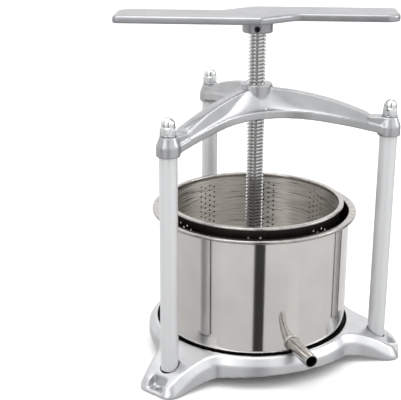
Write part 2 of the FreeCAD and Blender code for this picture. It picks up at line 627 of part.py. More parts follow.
# ---------------------------------------------------------------- press plate and swivel
def press_plate():
    """Press plate with the swivel that lets the screw turn while the plate only moves up and down."""
    wall = PLATE_RADIUS + " - plate_rim_wall"
    node("press_plate", turned("plate_blank", [
        ("0", "plate_low"), (PLATE_RADIUS, "plate_low"), (PLATE_RADIUS, "plate_low + plate_rim"),
        (wall, "plate_low + plate_rim"), (wall, SOCKET_LOW), ("0", SOCKET_LOW)]))
    bore = "button_dia / 2 + swivel_play"
    low = CAP_LOW + " - 10"
    screw_hole = cylinder("socket_thread", "cap_screw_dia / 2", "socket_height", low, "cap_screw_circle")
    node("thrust_socket", cut("socket_cut", turned("socket_blank", [
        (bore, SOCKET_LOW), ("socket_radius", SOCKET_LOW), ("socket_radius", CAP_LOW), (bore, CAP_LOW)]),
        around("socket_thread", screw_hole)))
    node("thrust_pad", cylinder("pad_disc", "button_dia / 2", "pad_thick", SOCKET_LOW))
    neck = "neck_dia / 2 + swivel_play"
    cap_hole = cylinder("cap_thread", "cap_screw_dia / 2", "cap_thick", CAP_LOW, "cap_screw_circle")
    node("swivel_cap", cut("cap_cut", turned("cap_blank", [
        (neck, CAP_LOW), ("socket_radius", CAP_LOW), ("socket_radius", CAP_TOP), (neck, CAP_TOP)]),
        around("cap_thread", cap_hole)))
    cap_screw = fuse("cap_screw", [
        cylinder("cap_shank", "cap_screw_dia / 2", "cap_thick + 10", low),
        cylinder("cap_head", "cap_head_dia / 2", "cap_screw_dia", CAP_TOP)])
    group_of_three("cap_screws", cap_screw, "cap_screw_circle", 90)


# ---------------------------------------------------------------- build, check and write
base_casting()
posts()
post_fasteners()
crossbeam()
bush()
screw()
handle()
bucket()
basket()
press_plate()
doc.recompute()

failed = [thing.Name for thing in doc.Objects if "Invalid" in thing.State or "Error" in thing.State]
if failed:
    raise RuntimeError("failed objects: " + ", ".join(failed))
for name, thing in NODES.items():
    if thing.Shape.isNull() or not thing.Shape.isValid() or not thing.Shape.Solids:
        raise RuntimeError("bad shape: " + name)
os.makedirs("parts", exist_ok=True)
for name, thing in NODES.items():
    thing.Shape.exportStep("parts/%s.step" % name)
    print("%-20s %d solids %9.1f mm3" % (name, len(thing.Shape.Solids), thing.Shape.Volume))
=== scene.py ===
import bmesh
import bpy
import math
from mathutils import Matrix, Vector


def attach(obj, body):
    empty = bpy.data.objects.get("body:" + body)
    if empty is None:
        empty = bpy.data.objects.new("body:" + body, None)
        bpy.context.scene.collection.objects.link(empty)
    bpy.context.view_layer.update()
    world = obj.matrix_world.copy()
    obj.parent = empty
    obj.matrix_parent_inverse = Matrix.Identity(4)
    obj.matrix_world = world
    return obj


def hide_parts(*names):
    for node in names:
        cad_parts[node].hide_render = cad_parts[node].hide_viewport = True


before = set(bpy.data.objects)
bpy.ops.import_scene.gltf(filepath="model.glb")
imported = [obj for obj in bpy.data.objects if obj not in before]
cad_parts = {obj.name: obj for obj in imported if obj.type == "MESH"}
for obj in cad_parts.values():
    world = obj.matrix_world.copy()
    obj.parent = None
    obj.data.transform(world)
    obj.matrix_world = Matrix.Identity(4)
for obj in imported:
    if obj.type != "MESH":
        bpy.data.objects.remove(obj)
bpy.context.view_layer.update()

# ---------------------------------------------------------------- base casting
# The base is one aluminium casting: a ring with a recess for the bucket, and three feet that
# carry the posts and have an open pocket for a bench bolt. It is blasted and sprayed with a
# satin silver lacquer, so its edges are soft and its faces slightly uneven.
MM = 0.001
FRAME_BODY = "frame"


def linear(code):
    """A colour from its sRGB hex code."""
    parts = [int(code[start:start + 2], 16) / 255 for start in (1, 3, 5)]
    return [part / 12.92 if part <= 0.04045 else ((part + 0.055) / 1.055) ** 2.4 for part in parts] + [1]


def add(tree, kind, feeds=(), **settings):
    """Add a node to a tree, with its settings, and feed its inputs with sockets or values."""
    made = tree.nodes.new(kind)
    for name, setting in settings.items():
        setattr(made, name, setting)
    for place, feed in dict(feeds).items():
        if isinstance(feed, bpy.types.NodeSocket):
            tree.links.new(feed, made.inputs[place])
        else:
            made.inputs[place].default_value = feed
    return made


def finish_material(name, **sockets):
    """A material with a principled shader, and its tree, its shader and the object coordinates."""
    material = bpy.data.materials.new(name)
    material.use_nodes = True
    tree = material.node_tree
    shader = tree.nodes["Principled BSDF"]
    for socket, value in sockets.items():
        shader.inputs[socket.replace("_", " ")].default_value = value
    place = add(tree, "ShaderNodeTexCoord").outputs["Object"]
    return material, tree, shader, place


def grain(tree, place, size, detail=2.0, stretch=(1, 1, 1)):
    """Noise whose grains are size millimetres across, drawn out by stretch along each axis."""
    scale = [1 / (size * MM * longer) for longer in stretch]
    scaled = add(tree, "ShaderNodeMapping", {"Vector": place, "Scale": scale})
    noise = add(tree, "ShaderNodeTexNoise", {"Vector": scaled.outputs[0], "Scale": 1.0, "Detail": detail})
    return noise.outputs["Fac"]


def between(tree, factor, low, high):
    """A value that goes from low to high as the grain goes from its darkest to its lightest."""
    spread = add(tree, "ShaderNodeMapRange", {"Value": factor, "From Min": 0.3, "From Max": 0.7,
                                              "To Min": low, "To Max": high})
    return spread.outputs[0]


def tint(tree, factor, dark, light):
    """A colour between two hex codes."""
    mix = add(tree, "ShaderNodeMix", {"Factor": between(tree, factor, 0.0, 1.0)}, data_type="RGBA")
    mix.inputs[6].default_value = linear(dark)
    mix.inputs[7].default_value = linear(light)
    return mix.outputs[2]


def lift(tree, shader, height, depth, under=None):
    """Raise the surface by depth millimetres where height is 1, on top of the bump under it."""
    feeds = {"Height": height, "Distance": depth * MM, "Strength": 1.0}
    if under:
        feeds["Normal"] = under
    bump = add(tree, "ShaderNodeBump", feeds)
    tree.links.new(bump.outputs[0], shader.inputs["Normal"])
    return bump.outputs[0]


def calc(tree, operation, *feeds):
    """The result of one step of arithmetic on numbers or sockets."""
    return add(tree, "ShaderNodeMath", dict(enumerate(feeds)), operation=operation).outputs[0]


def flat_distance(tree, place, x=0.0, y=0.0):
    """How far a point is from an upright axis at (x, y) in millimetres, in metres."""
    across = add(tree, "ShaderNodeSeparateXYZ", {0: place}).outputs
    along_x, along_y = calc(tree, "SUBTRACT", across[0], x * MM), calc(tree, "SUBTRACT", across[1], y * MM)
    return calc(tree, "SQRT", calc(tree, "MULTIPLY_ADD", along_x, along_x, calc(tree, "POWER", along_y, 2.0)))


# Satin silver lacquer on blasted aluminium: a metallic sheen that blurs reflections into soft
# gradients, with a fine blasted grain of 0.7 mm and broad casting waves of 25 mm. Each casting
# has its own tone of it, painted lighter or darker for the light that falls on it. Faces inside a
# bore or recess, as seen in plan, are painted nearly black as shade.
def silver_lacquer(name, dark, light, bores=()):
    """The lacquer between two tones, and painted near black shade inside bores given as (x, y, radius)."""
    material, tree, shader, place = finish_material(name, Metallic=0.86)
    colour = tint(tree, grain(tree, place, 30, 3), dark, light)
    for x, y, radius in bores:
        # Inside each bore the colour is painted near black, as shade.
        inside = calc(tree, "LESS_THAN", flat_distance(tree, place, x, y), radius * MM)
        painted_bore_shade = add(tree, "ShaderNodeMix", {"Factor": inside}, data_type="RGBA")
        tree.links.new(colour, painted_bore_shade.inputs[6])
        painted_bore_shade.inputs[7].default_value = linear("#1c1b1a")
        colour = painted_bore_shade.outputs[2]
    tree.links.new(colour, shader.inputs["Base Color"])
    tree.links.new(between(tree, grain(tree, place, 6, 4), 0.30, 0.38), shader.inputs["Roughness"])
    waves = lift(tree, shader, grain(tree, place, 25, 1), 0.10)
    lift(tree, shader, grain(tree, place, 0.7, 2), 0.018, waves)
    return material


def link(name, mesh):
    """A new object at the origin that shows a mesh."""
    piece = bpy.data.objects.new(name, mesh)
    bpy.context.collection.objects.link(piece)
    return piece


def baked(piece):
    """The piece with its modifiers turned into plain mesh."""
    seen = piece.evaluated_get(bpy.context.evaluated_depsgraph_get())
    mesh = bpy.data.meshes.new_from_object(seen)
    piece.modifiers.clear()
    piece.data = mesh
    return piece


def smooth(piece, angle=35):
    """Shade a piece smooth, with edges sharper than angle kept sharp."""
    piece.data.shade_smooth()
    piece.data.set_sharp_from_angle(angle=math.radians(angle))
    return piece


def fit(piece, body, slot, material, *nodes):
    """Give a piece its finish, and say what it moves with and which parts it stands for."""
    piece.data.materials.clear()
    piece.data.materials.append(material)
    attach(piece, body)
    if nodes:
        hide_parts(*nodes)
    return piece


def cast_copy(name, node, grid, passes, fillets=()):
    """A casting's solid and its fillets as one skin, on an even grid in millimetres, with soft edges."""
    shape = bmesh.new()
    shape.from_mesh(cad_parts[node].data)
    for fillet in fillets:
        shape.from_mesh(fillet)
    bmesh.ops.remove_doubles(shape, verts=shape.verts, dist=0.002 * MM)
    mesh = bpy.data.meshes.new(name)
    shape.to_mesh(mesh)
    shape.free()
    piece = link(name, mesh)
    remesh = piece.modifiers.new("grid", "REMESH")
    remesh.mode = "VOXEL"
    remesh.voxel_size = grid * MM
    soften = piece.modifiers.new("soften", "SMOOTH")
    soften.factor = 0.5
    soften.iterations = passes
    baked(piece)
    piece.data.shade_smooth()
    return piece


POST_CIRCLE = 151.0
ARM_ANGLES = (90, 210, 330)
RECESS_RADIUS = 115.4
SOCKET_RADIUS = 10.9
sockets = [(POST_CIRCLE * math.cos(math.radians(turn)), POST_CIRCLE * math.sin(math.radians(turn)),
            SOCKET_RADIUS) for turn in ARM_ANGLES]
# The base's lacquer is painted lighter than the beam's and the handle's for the light on it, and its recess
# and post sockets are painted near black as shade.
base_lacquer = silver_lacquer(
    "silver_lacquer_on_base", "#bfc0c3", "#cbccce", [(0, 0, RECESS_RADIUS)] + sockets)
base = cast_copy("base_casting_finished", "base_casting", 1.5, 4)
fit(base, FRAME_BODY, "painted_casting", base_lacquer, "base_casting")

# ---------------------------------------------------------------- posts and tie rods
# Three drawn steel tubes stand in sockets of the base, powder coated in matt light silver.
# An M10 rod down the middle of each pulls the two castings together.
POST_RADIUS = 10.0
POST_BORE = 8.5
POST_LOW = 22.2
POST_HIGH = 281.9

# Powder coat: a matt skin with a faint orange peel of 1.2 mm, and a trace of aluminium flake.
powder_coat, tree, shader, place = finish_material(
    "matt_silver_powder_coat", Metallic=0.35, Roughness=0.38)
tree.links.new(tint(tree, grain(tree, place, 0.5, 2), "#c1c2c4", "#cacbcc"), shader.inputs["Base Color"])
lift(tree, shader, grain(tree, place, 1.2, 1), 0.012)


def softened(profile, steps=4):
    """A profile with each corner rounded that gives a radius as its third number."""
    line = []
    for index, corner in enumerate(profile):
        here = Vector(corner[:2])
        if len(corner) < 3:
            line.append(here)
            continue
        back = Vector(profile[index - 1][:2]) - here
        ahead = Vector(profile[(index + 1) % len(profile)][:2]) - here
        reach = corner[2] / math.tan(back.angle(ahead) / 2)
        start, end = here + back.normalized() * reach, here + ahead.normalized() * reach
        for step in range(steps + 1):
            share = step / steps
            line.append(start.lerp(here, share).lerp(here.lerp(end, share), share))
    return line


def skin(name, rings, place=None):
    """A closed skin over rings of points in millimetres, merged, facing outwards."""
    shape = bmesh.new()
    loops = [[shape.verts.new(Vector(point) * MM) for point in ring] for ring in rings]
    for index, loop in enumerate(loops):
        ahead = loops[(index + 1) % len(loops)]
        for step in range(len(loop)):
            following = (step + 1) % len(loop)
            shape.faces.new((loop[step], ahead[step], ahead[following], loop[following]))
    bmesh.ops.remove_doubles(shape, verts=shape.verts, dist=0.001 * MM)
    bmesh.ops.dissolve_degenerate(shape, edges=shape.edges, dist=0.0005 * MM)
    bmesh.ops.recalc_face_normals(shape, faces=shape.faces)
    mesh = bpy.data.meshes.new(name)
    shape.to_mesh(mesh)
    shape.free()
    if place:
        mesh.transform(place)
    return smooth(link(name, mesh))


def turned(name, profile, segments=96, place=None):
    """A piece turned about the Z axis from a closed profile of (radius, height) in millimetres."""
    line = softened(profile)
    angles = [2 * math.pi * index / segments for index in range(segments)]
    rings = [[(r * math.cos(angle), r * math.sin(angle), z) for r, z in line] for angle in angles]
    return skin(name, rings, place)


def new_tree(name, **inputs):
    """A geometry tree with named inputs, and the sockets that give them."""
    tree = bpy.data.node_groups.new(name, "GeometryNodeTree")
    tree.interface.new_socket("Geometry", in_out="OUTPUT", socket_type="NodeSocketGeometry")
    for words, kind in inputs.items():
        tree.interface.new_socket(words.replace("_", " "), in_out="INPUT", socket_type="NodeSocket" + kind)
    return tree, tree.nodes.new("NodeGroupInput").outputs


def close_tree(tree, geometry, material):
    """End a geometry tree with real geometry that has its material."""
    real = add(tree, "GeometryNodeRealizeInstances", {"Geometry": geometry})
    coloured = add(tree, "GeometryNodeSetMaterial", {"Geometry": real.outputs[0], "Material": material})
    add(tree, "NodeGroupOutput", {"Geometry": coloured.outputs[0]})


def made_by(tree, name, **sizes):
    """The plain mesh that a geometry tree makes with these inputs."""
    piece = link(name, bpy.data.meshes.new(name))
    modifier = piece.modifiers.new("making", "NODES")
    modifier.node_group = tree
    for item in tree.interface.items_tree:
        words = item.name.replace(" ", "_")
        if words in sizes:
            modifier[item.identifier] = sizes[words]
    return baked(piece)


# Copies of one piece on a circle about the screw axis, each turned to face outwards.
ring_tree, given = new_tree("pieces_on_a_circle", Piece="Object", Count="Int", Radius="Float",
                            First_angle="Float", Material="Material")
circle = add(ring_tree, "GeometryNodeMeshCircle", {"Vertices": given["Count"], "Radius": given["Radius"]})
step = calc(ring_tree, "DIVIDE", 2 * math.pi, given["Count"])
number = add(ring_tree, "GeometryNodeInputIndex").outputs[0]
facing = add(ring_tree, "ShaderNodeCombineXYZ", {2: calc(ring_tree, "MULTIPLY", number, step)})
source = add(ring_tree, "GeometryNodeObjectInfo", {"Object": given["Piece"]})
copies = add(ring_tree, "GeometryNodeInstanceOnPoints", {
    "Points": circle.outputs[0], "Instance": source.outputs["Geometry"], "Rotation": facing.outputs[0]})
first = add(ring_tree, "ShaderNodeCombineXYZ", {2: given["First angle"]})
swung = add(ring_tree, "GeometryNodeTransform", {"Geometry": copies.outputs[0], "Rotation": first.outputs[0]})
close_tree(ring_tree, swung.outputs[0], given["Material"])


def ring_of(name, piece, radius, material, first=90, count=3):
    """Copies of a piece on a circle, as one plain mesh in place of it."""
    whole = made_by(ring_tree, name, Piece=piece, Count=count, Radius=radius * MM,
                    First_angle=math.radians(first), Material=material)
    bpy.data.objects.remove(piece)
    return smooth(whole)


post = turned("post", [(POST_BORE, POST_LOW), (POST_RADIUS, POST_LOW, 0.5), (POST_RADIUS, POST_HIGH, 0.5),
                       (POST_BORE, POST_HIGH)])
posts = ring_of("post_tubes_finished", post, POST_CIRCLE, powder_coat)
fit(posts, FRAME_BODY, "coated_post", powder_coat, "post_tube_left", "post_tube_right", "post_tube_back")

# Bright zinc plate on steel: a cool light metal, slightly cloudy from the bath.
zinc_plate, tree, shader, place = finish_material("bright_zinc_plate", Metallic=1.0)
tree.links.new(tint(tree, grain(tree, place, 4, 3), "#a7abb0", "#bfc1c4"), shader.inputs["Base Color"])
tree.links.new(between(tree, grain(tree, place, 1.5, 3), 0.18, 0.30), shader.inputs["Roughness"])
for side in ("left", "right", "back"):
    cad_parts["tie_rod_" + side].data.materials.clear()
    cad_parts["tie_rod_" + side].data.materials.append(zinc_plate)

# ---------------------------------------------------------------- nuts and washers
# Chromed M10 dome nuts close the rods over the beam, and plain zinc nuts sit in pockets under
# the base. Each is tightened on a flat washer.
ROD_RADIUS = 5.0
PAD_TOP = 292.0
POCKET_TOP = 16.0
WASHER_THICK = 1.9
ACROSS_FLATS = 16.0

# Polished chrome: a mirror with a cold tone, broken only by faint polishing haze.
chrome, tree, shader, place = finish_material("polished_chrome", Metallic=1.0)
tree.links.new(tint(tree, grain(tree, place, 3, 2), "#d6d8da", "#e2e4e5"), shader.inputs["Base Color"])
tree.links.new(between(tree, grain(tree, place, 1.5, 3), 0.04, 0.11), shader.inputs["Roughness"])


def hexagonal(name, rows, flats=ACROSS_FLATS, segments=48):
    """A nut from rows of (radius, height), cut back to a hexagon wherever a row is wider than it."""
    rings = []
    for index in range(segments):
        angle = 2 * math.pi * index / segments
        side = (angle + math.pi / 6) % (math.pi / 3) - math.pi / 6
        limit = flats / 2 / math.cos(side)
        rings.append([(min(r, limit) * math.cos(angle), min(r, limit) * math.sin(angle), z) for r, z in rows])
    return skin(name, rings)


PAST_CORNERS = 9.3
CHAMFERED = 8.1
nut_base = PAD_TOP + WASHER_THICK
dome_radius, dome_height, hexagon_top = 7.6, 18.0, nut_base + 8.0
bore_top = nut_base + 13
centre = nut_base + dome_height - dome_radius
dome_rows = [(ROD_RADIUS, bore_top), (ROD_RADIUS, nut_base), (8.2, nut_base),
             (PAST_CORNERS, nut_base + 0.7), (PAST_CORNERS, nut_base + 3.9),
             (PAST_CORNERS, hexagon_top - 0.8), (7.9, hexagon_top), (dome_radius, hexagon_top + 0.2),
             (dome_radius, centre)]
for degrees in range(9, 91, 9):
    rise = math.radians(degrees)
    dome_rows.append((dome_radius * math.cos(rise), centre + dome_radius * math.sin(rise)))
dome_rows.append((0, bore_top))
domes = ring_of("dome_nuts_finished", hexagonal("dome_nut", dome_rows), POST_CIRCLE, chrome)
fit(domes, FRAME_BODY, "chromed_nut", chrome, "dome_nuts")


def washer(name, low):
    """A flat washer with the soft edge that the press leaves."""
    high = low + WASHER_THICK
    bore, edge = 5.3, 9.0
    return turned(name, [(bore, low, 0.2), (edge, low, 0.3), (edge, high, 0.6), (bore, high, 0.2)], 64)


top_washers = ring_of("top_washers_finished", washer("washer", PAD_TOP), POST_CIRCLE, zinc_plate)
fit(top_washers, FRAME_BODY, "zinc_steel", zinc_plate, "top_washers")
NUT_HEIGHT = 8
nut_high = POCKET_TOP - WASHER_THICK
nut_low = POCKET_TOP - WASHER_THICK - NUT_HEIGHT
low_washers = ring_of("base_washers_finished", washer("washer", nut_high), POST_CIRCLE, zinc_plate)
fit(low_washers, FRAME_BODY, "zinc_steel", zinc_plate, "base_washers")
nut_rows = [(ROD_RADIUS, nut_low + 0.5), (ROD_RADIUS + 0.5, nut_low), (CHAMFERED, nut_low),
            (PAST_CORNERS, nut_low + 0.8), (PAST_CORNERS, nut_high - 0.8), (CHAMFERED, nut_high),
            (ROD_RADIUS + 0.5, nut_high), (ROD_RADIUS, nut_high - 0.5)]
nuts = ring_of("base_nuts_finished", hexagonal("base_nut", nut_rows), POST_CIRCLE, zinc_plate)
fit(nuts, FRAME_BODY, "zinc_steel", zinc_plate, "base_nuts")

# ---------------------------------------------------------------- crossbeam
# The crossbeam is cast and lacquered like the base: three arched arms of an inverted T section
# meet at the collar of the screw, and each ends in a boss over its post.
RIB_HALF, ARM_HALF = 3.5, 11.0
HOLLOW_RADIUS, HOLLOW_ALONG = 112.0, 71.0
FLANGE_CREST, FLANGE_ARCH = 297.5, 682.0
RIB_CREST, RIB_ARCH = 320.0, 323.6
SCOOP_START, SCOOP_STEP, SCOOP_SECTIONS = 9, 4, 30
SCOOP_STRIPS = 12
SCOOP_CURVE = 1.6


def scoop(turn, side):
    """A closed solid that fills the corner between a rib and its flange with a deep hollow curve."""
    shape = bmesh.new()
    sections = []
    for along in [SCOOP_START + SCOOP_STEP * step for step in range(SCOOP_SECTIONS)]:
        edge = ARM_HALF
        if along < HOLLOW_ALONG:
            edge += HOLLOW_RADIUS - math.sqrt(HOLLOW_RADIUS ** 2 - (along - HOLLOW_ALONG) ** 2)
        edge = min(edge, along * math.tan(math.radians(60))) - 0.4
        section = []
        for step in range(SCOOP_STRIPS + 1):
            across = RIB_HALF + (edge - RIB_HALF) * step / SCOOP_STRIPS
            flange = FLANGE_CREST - (along ** 2 + across ** 2) / 2 / FLANGE_ARCH
            rib = RIB_CREST - along ** 2 / 2 / RIB_ARCH
            inside = max(0.0, ARM_HALF - across)
            if along < HOLLOW_ALONG:
                from_hollow = math.hypot(along - HOLLOW_ALONG, ARM_HALF + HOLLOW_RADIUS - across)
                inside = max(0.0, from_hollow - HOLLOW_RADIUS)
            own_rib, next_rib = across - RIB_HALF, (along * math.sqrt(3) + across) / 2 - RIB_HALF
            climbs = [(inside / (inside + gap + 0.001)) ** SCOOP_CURVE for gap in (own_rib, next_rib)]
            height = flange + (rib - flange) * min(1.0, math.hypot(*climbs))
            section.append((along, side * across, height - 0.2))
        low = FLANGE_CREST - along ** 2 / 2 / FLANGE_ARCH - 5
        section += [(along, side * edge, low), (along, 0, low), (along, 0, section[0][2])]
        sections.append([shape.verts.new(Vector(point) * MM) for point in section])
    for here, ahead in zip(sections, sections[1:]):
        for step in range(len(here)):
            following = (step + 1) % len(here)
            shape.faces.new((here[step], here[following], ahead[following], ahead[step]))
    shape.faces.new(sections[0])
    shape.faces.new(sections[-1])
    bmesh.ops.recalc_face_normals(shape, faces=shape.faces)
    bmesh.ops.rotate(shape, verts=shape.verts, matrix=Matrix.Rotation(math.radians(turn), 3, "Z"))
    mesh = bpy.data.meshes.new("scoop")
    shape.to_mesh(mesh)
    shape.free()
    return mesh


scoops = [scoop(turn, side) for turn in ARM_ANGLES for side in (-1, 1)]
beam = cast_copy("crossbeam_finished", "crossbeam", 1.1, 3, scoops)
# The beam's lacquer tone is painted between the base's and the handle's, for the light on it.
beam_lacquer = silver_lacquer("silver_lacquer_on_beam", "#a9aaac", "#b7b8ba")
fit(beam, FRAME_BODY, "painted_casting", beam_lacquer, "crossbeam")

# ---------------------------------------------------------------- bush
# A turned and plated steel bush is pushed into the collar from below and held by a grub screw.
# Its bore carries the thread and its flange takes the thrust.
COLLAR_LOW, COLLAR_HIGH = 287.0, 324.0
FLANGE_LOW = COLLAR_LOW - 2.5
SCREW_RADIUS = 10.0
BUSH_BORE, BUSH_RADIUS, BUSH_FLANGE = SCREW_RADIUS + 0.05, 13.0, 17.5
bush = turned("screw_bush_finished", [
    (BUSH_BORE, FLANGE_LOW, 0.5), (BUSH_FLANGE, FLANGE_LOW, 0.8), (BUSH_FLANGE, COLLAR_LOW, 0.3),
    (BUSH_RADIUS, COLLAR_LOW), (BUSH_RADIUS, COLLAR_HIGH, 0.6), (BUSH_BORE, COLLAR_HIGH, 0.8)])
fit(bush, FRAME_BODY, "zinc_steel", zinc_plate, "screw_bush")

# Black oxide on steel: nearly black with an oily sheen.
black_oxide, tree, shader, place = finish_material("black_oxide_steel", Metallic=0.7, Roughness=0.35)
tree.links.new(tint(tree, grain(tree, place, 2, 3), "#131313", "#202020"), shader.inputs["Base Color"])


def socket_screw(name, radius, low, high, key, depth, segments=36):
    """A headless screw with a hexagon socket of key millimetres across flats in its upper end."""
    chamfer = 0.6
    rows = [(0, high - depth), (key / 2, high - depth), (key / 2 / math.cos(math.pi / 6), high),
            (radius - chamfer, high), (radius, high - chamfer), (radius, low + chamfer),
            (radius - chamfer, low), (0, low)]
    rings = []
    for index in range(segments):
        angle = 2 * math.pi * index / segments
        side = (angle + math.pi / 6) % (math.pi / 3) - math.pi / 6
        flat = key / 2 / math.cos(side)
        ring = [(flat if 0 < r < key * 0.6 else r, z) for r, z in rows]
        rings.append([(r * math.cos(angle), r * math.sin(angle), z) for r, z in ring])
    return skin(name, rings)


def sideways(angle, height):
    """The turn and lift that lay a piece's Z axis along a level direction at height millimetres."""
    return Matrix.Translation((0, 0, height * MM)) @ Matrix.Rotation(math.radians(angle), 4, "Z") \
        @ Matrix.Rotation(math.pi / 2, 4, "Y")


GRUB_RADIUS, GRUB_KEY, GRUB_SOCKET_DEPTH = 2.95, 3.0, 2.2
BUSH_GRUB_TURN, BUSH_GRUB_HEIGHT = 30, COLLAR_LOW + (FLANGE_CREST - COLLAR_LOW) / 2 + 18
bush_grub = socket_screw("bush_grub_screw_finished", GRUB_RADIUS, 12.0, 17.1, GRUB_KEY, GRUB_SOCKET_DEPTH)
bush_grub.data.transform(sideways(BUSH_GRUB_TURN, BUSH_GRUB_HEIGHT))
fit(bush_grub, FRAME_BODY, "black_steel", black_oxide, "bush_grub_screw")

# ---------------------------------------------------------------- press screw
# The screw is a 20 mm trapezoidal thread of 4 mm lead, rolled bright, with a narrow groove
# milled down one side. A turned neck and thrust button at its foot sit in the swivel.
SCREW_BODY = "screw"
ROOT_RADIUS, BURNISHED_RADIUS, GROOVE_RADIUS, LEAD = 7.75, 9.0, 7.6, 4
CAP_TOP = 122.0
HANDLE_TURN = -24.0

# Bright rolled steel: the rolls burnish the crests, and the flanks and roots are darker, partly
# from old oil and partly as painted shade down in the thread.
rolled_steel, tree, shader, place = finish_material("bright_rolled_steel", Metallic=1.0)
clear_of_oil_and_shade = add(tree, "ShaderNodeMapRange", {
    "Value": flat_distance(tree, place), "From Min": ROOT_RADIUS * MM,
    "From Max": BURNISHED_RADIUS * MM}).outputs[0]
# Darker towards the roots: old oil and painted shade.
oil_and_root_shade = add(tree, "ShaderNodeMix", {"Factor": clear_of_oil_and_shade}, data_type="RGBA")
oil_and_root_shade.inputs[6].default_value = linear("#aeadab")
tree.links.new(tint(tree, grain(tree, place, 3, 3), "#cfd0d1", "#e2e3e4"), oil_and_root_shade.inputs[7])
tree.links.new(oil_and_root_shade.outputs[2], shader.inputs["Base Color"])
tree.links.new(between(tree, grain(tree, place, 2, 3), 0.10, 0.20), shader.inputs["Roughness"])

# One strip of the thread's section runs round the helix, and the groove holds its radius down.
thread_tree, given = new_tree("trapezoidal_thread", Major_radius="Float", Root_radius="Float",
                              Groove_radius="Float", Lead="Float", Low_end="Float", Turns="Int",
                              Steps_a_turn="Int", Groove_angle="Float", Material="Material")


def choice(tree, index, *feeds):
    """The feed that has this index."""
    switch = add(tree, "GeometryNodeIndexSwitch", data_type="FLOAT")
    while len(switch.index_switch_items) < len(feeds):
        switch.index_switch_items.new()
    tree.links.new(index, switch.inputs["Index"])
    for number, feed in enumerate(feeds):
        if isinstance(feed, bpy.types.NodeSocket):
            tree.links.new(feed, switch.inputs[number + 1])
        else:
            switch.inputs[number + 1].default_value = feed
    return switch.outputs[0]


# How far along one lead each corner of the section lies: root, flank, crest, flank and root.
CORNERS = (0.0, 0.366, 0.5, 0.866, 1.0)
SECTION = len(CORNERS)
GROOVE_STEPS = 1.5
number = add(thread_tree, "GeometryNodeInputIndex").outputs[0]
strip_rows = calc(thread_tree, "MULTIPLY_ADD", given["Turns"], given["Steps a turn"], 1.0)
strip = add(thread_tree, "GeometryNodeMeshGrid", {"Vertices X": strip_rows, "Vertices Y": SECTION})
rows_done = calc(thread_tree, "DIVIDE", calc(thread_tree, "ADD", number, 0.5), float(SECTION))
row = calc(thread_tree, "FLOOR", rows_done)
column = calc(thread_tree, "SUBTRACT", number, calc(thread_tree, "MULTIPLY", row, float(SECTION)))
share = choice(thread_tree, column, *CORNERS)
full = choice(thread_tree, column, given["Root radius"], given["Root radius"], given["Major radius"],
              given["Major radius"], given["Root radius"])
turns_done = calc(thread_tree, "DIVIDE", row, given["Steps a turn"])
past_groove = calc(thread_tree, "FLOORED_MODULO", calc(thread_tree, "ADD", row, 1.0), given["Steps a turn"])
in_groove = calc(thread_tree, "LESS_THAN", past_groove, GROOVE_STEPS)
held = calc(thread_tree, "MINIMUM", full, given["Groove radius"])
radius = calc(thread_tree, "MULTIPLY_ADD", in_groove, calc(thread_tree, "SUBTRACT", held, full), full)
angle = calc(thread_tree, "MULTIPLY_ADD", turns_done, 2 * math.pi, given["Groove angle"])
leads_up = calc(thread_tree, "ADD", turns_done, share)
height = calc(thread_tree, "MULTIPLY_ADD", leads_up, given["Lead"], given["Low end"])
spot = add(thread_tree, "ShaderNodeCombineXYZ", {
    0: calc(thread_tree, "MULTIPLY", radius, calc(thread_tree, "COSINE", angle)),
    1: calc(thread_tree, "MULTIPLY", radius, calc(thread_tree, "SINE", angle)), 2: height})
wound = add(thread_tree, "GeometryNodeSetPosition", {
    "Geometry": strip.outputs[0], "Position": spot.outputs[0]})
joined = add(thread_tree, "GeometryNodeMergeByDistance", {
    "Geometry": wound.outputs[0], "Distance": 0.005 * MM})
close_tree(thread_tree, joined.outputs[0], given["Material"])

THREAD_LOW = 125.6
screw = made_by(thread_tree, "press_screw_finished", Major_radius=SCREW_RADIUS * MM,
                Root_radius=ROOT_RADIUS * MM, Groove_radius=GROOVE_RADIUS * MM, Lead=LEAD * MM,
                Low_end=THREAD_LOW * MM, Turns=67, Steps_a_turn=120,
                Groove_angle=math.radians(HANDLE_TURN - 90), Material=rolled_steel)


def capped(piece):
    """Close a tube's open ends, each with a fan of faces to a point on the axis."""
    shape = bmesh.new()
    shape.from_mesh(piece.data)
    middle = sum(vertex.co.z for vertex in shape.verts) / len(shape.verts)
    for side in (-1, 1):
        rim = [edge for edge in shape.edges if edge.is_boundary and (edge.verts[0].co.z - middle) * side > 0]
        level = sum(edge.verts[0].co.z for edge in rim) / len(rim)
        hub = shape.verts.new((0, 0, level))
        for edge in rim:
            shape.faces.new((edge.verts[0], edge.verts[1], hub))
    bmesh.ops.recalc_face_normals(shape, faces=shape.faces)
    shape.to_mesh(piece.data)
    shape.free()
    return smooth(piece, 25)


capped(screw)
fit(screw, SCREW_BODY, "bright_screw_steel", rolled_steel, "press_screw")
BUTTON_RADIUS, BUTTON_LOW, BUTTON_HIGH = 11, 106.2, 113.2
NECK_RADIUS, SHOULDER_RADIUS = 7.0, 8.6
foot = turned("screw_foot_finished", [
    (0, BUTTON_LOW), (BUTTON_RADIUS, BUTTON_LOW, 0.9), (BUTTON_RADIUS, BUTTON_HIGH, 0.6),
    (NECK_RADIUS, BUTTON_HIGH, 0.8), (NECK_RADIUS, CAP_TOP + 3), (SHOULDER_RADIUS, CAP_TOP + 5),
    (SHOULDER_RADIUS, CAP_TOP + 5.6), (GROOVE_RADIUS, CAP_TOP + 6.4), (GROOVE_RADIUS, CAP_TOP + 10),
    (0, CAP_TOP + 10)])
fit(foot, SCREW_BODY, "bright_screw_steel", rolled_steel)

